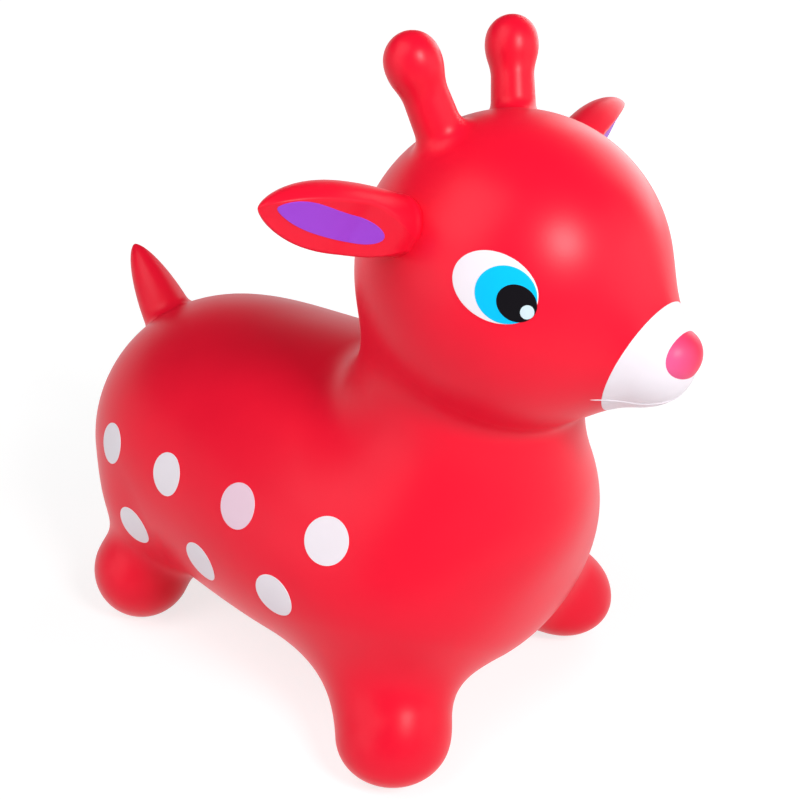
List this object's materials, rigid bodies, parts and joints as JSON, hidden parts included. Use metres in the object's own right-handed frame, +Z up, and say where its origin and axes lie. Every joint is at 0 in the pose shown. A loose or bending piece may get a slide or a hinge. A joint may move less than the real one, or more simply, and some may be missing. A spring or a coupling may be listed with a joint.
{
  "type": "bouncy ride-on deer",
  "caption": "Air-filled soft plastic hopper shaped as a red deer, with a long rounded seat body, short leg stubs, ears, ball-ended antlers, tail and a belly valve.",
  "frame": {"origin": "on the floor under the middle of the deer's bounding box, midway between the tail's tip and the nose", "axes": "+X forward to the nose, +Y to the deer's left, +Z up"},
  "size_m": [0.587, 0.3914, 0.5366],
  "materials": {
    "skin_red": "soft satin red plastic skin",
    "paint_white": "flexible white paint",
    "paint_purple": "flexible purple paint",
    "paint_pink": "flexible pink paint",
    "paint_cyan": "flexible bright blue paint",
    "paint_black": "flexible black paint",
    "valve_white": "hard white plastic"
  },
  "bodies": {
    "trunk": {"trunk_shell": "skin_red", "neck_band": "skin_red", "leg_sleeve_front_right": "skin_red", "leg_sleeve_front_left": "skin_red", "leg_sleeve_rear_right": "skin_red", "leg_sleeve_rear_left": "skin_red", "tail_root": "skin_red", "spot_right_1": "paint_white", "spot_right_2": "paint_white", "spot_right_3": "paint_white", "spot_right_4": "paint_white", "spot_right_5": "paint_white", "spot_right_6": "paint_white", "spot_right_7": "paint_white", "spot_left_1": "paint_white", "spot_left_2": "paint_white", "spot_left_3": "paint_white", "spot_left_4": "paint_white", "spot_left_5": "paint_white", "spot_left_6": "paint_white", "spot_left_7": "paint_white", "valve_seat": "valve_white"},
    "head": {"head_shell": "skin_red", "antler_root_right": "skin_red", "antler_root_left": "skin_red", "ear_root_right": "skin_red", "ear_root_left": "skin_red", "muzzle_coat": "paint_white", "nose": "paint_pink", "eye_white_right": "paint_white", "eye_white_left": "paint_white", "eye_iris_right": "paint_cyan", "eye_iris_left": "paint_cyan", "eye_pupil_right": "paint_black", "eye_pupil_left": "paint_black", "eye_glint_right": "paint_white", "eye_glint_left": "paint_white"},
    "right_antler": {"antler_right": "skin_red"},
    "left_antler": {"antler_left": "skin_red"},
    "right_ear": {"ear_right": "skin_red", "ear_lining_right": "paint_purple"},
    "left_ear": {"ear_left": "skin_red", "ear_lining_left": "paint_purple"},
    "tail": {"tail": "skin_red"},
    "front_right_foot": {"foot_front_right": "skin_red"},
    "front_left_foot": {"foot_front_left": "skin_red"},
    "rear_right_foot": {"foot_rear_right": "skin_red"},
    "rear_left_foot": {"foot_rear_left": "skin_red"},
    "plug": {"valve_plug": "valve_white"}
  },
  "joints": [
    {"name": "head_nod", "type": "hinge", "parent": "trunk", "child": "head", "pos_m": [0.1262, 0, 0.272], "axis": [0, 1, 0], "range_deg": [-6, 6], "stiffness_Nm_per_rad": 60, "deforming": ["neck_band"]},
    {"name": "right_antler_bend", "type": "hinge", "parent": "head", "child": "right_antler", "pos_m": [0.1166, -0.0432, 0.4828], "axis": [0, 1, 0], "range_deg": [-12, 12], "stiffness_Nm_per_rad": 1.2, "deforming": ["antler_root_right"]},
    {"name": "left_antler_bend", "type": "hinge", "parent": "head", "child": "left_antler", "pos_m": [0.1166, 0.0432, 0.4828], "axis": [0, 1, 0], "range_deg": [-12, 12], "stiffness_Nm_per_rad": 1.2, "deforming": ["antler_root_left"]},
    {"name": "right_ear_bend", "type": "hinge", "parent": "head", "child": "right_ear", "pos_m": [0.1262, -0.1032, 0.4287], "axis": [-1, 0, 0], "range_deg": [-18, 18], "stiffness_Nm_per_rad": 1.5, "deforming": ["ear_root_right"]},
    {"name": "left_ear_bend", "type": "hinge", "parent": "head", "child": "left_ear", "pos_m": [0.1262, 0.1032, 0.4287], "axis": [1, 0, 0], "range_deg": [-18, 18], "stiffness_Nm_per_rad": 1.5, "deforming": ["ear_root_left"]},
    {"name": "tail_bend", "type": "hinge", "parent": "trunk", "child": "tail", "pos_m": [-0.2551, 0, 0.255], "axis": [0, 1, 0], "range_deg": [-15, 15], "stiffness_Nm_per_rad": 1.5, "deforming": ["tail_root"]},
    {"name": "front_right_foot_squash", "type": "slide", "parent": "trunk", "child": "front_right_foot", "axis": [0, 0, 1], "range_m": [0, 0.01], "stiffness_N_per_m": 3000, "springref_m": -0.002, "deforming": ["leg_sleeve_front_right"]},
    {"name": "front_left_foot_squash", "type": "slide", "parent": "trunk", "child": "front_left_foot", "axis": [0, 0, 1], "range_m": [0, 0.01], "stiffness_N_per_m": 3000, "springref_m": -0.002, "deforming": ["leg_sleeve_front_left"]},
    {"name": "rear_right_foot_squash", "type": "slide", "parent": "trunk", "child": "rear_right_foot", "axis": [0, 0, 1], "range_m": [0, 0.01], "stiffness_N_per_m": 3000, "springref_m": -0.002, "deforming": ["leg_sleeve_rear_right"]},
    {"name": "rear_left_foot_squash", "type": "slide", "parent": "trunk", "child": "rear_left_foot", "axis": [0, 0, 1], "range_m": [0, 0.01], "stiffness_N_per_m": 3000, "springref_m": -0.002, "deforming": ["leg_sleeve_rear_left"]},
    {"name": "valve_plug_pull", "type": "slide", "parent": "trunk", "child": "plug", "axis": [0, 0, -1], "range_m": [0, 0.012]}
  ]
}
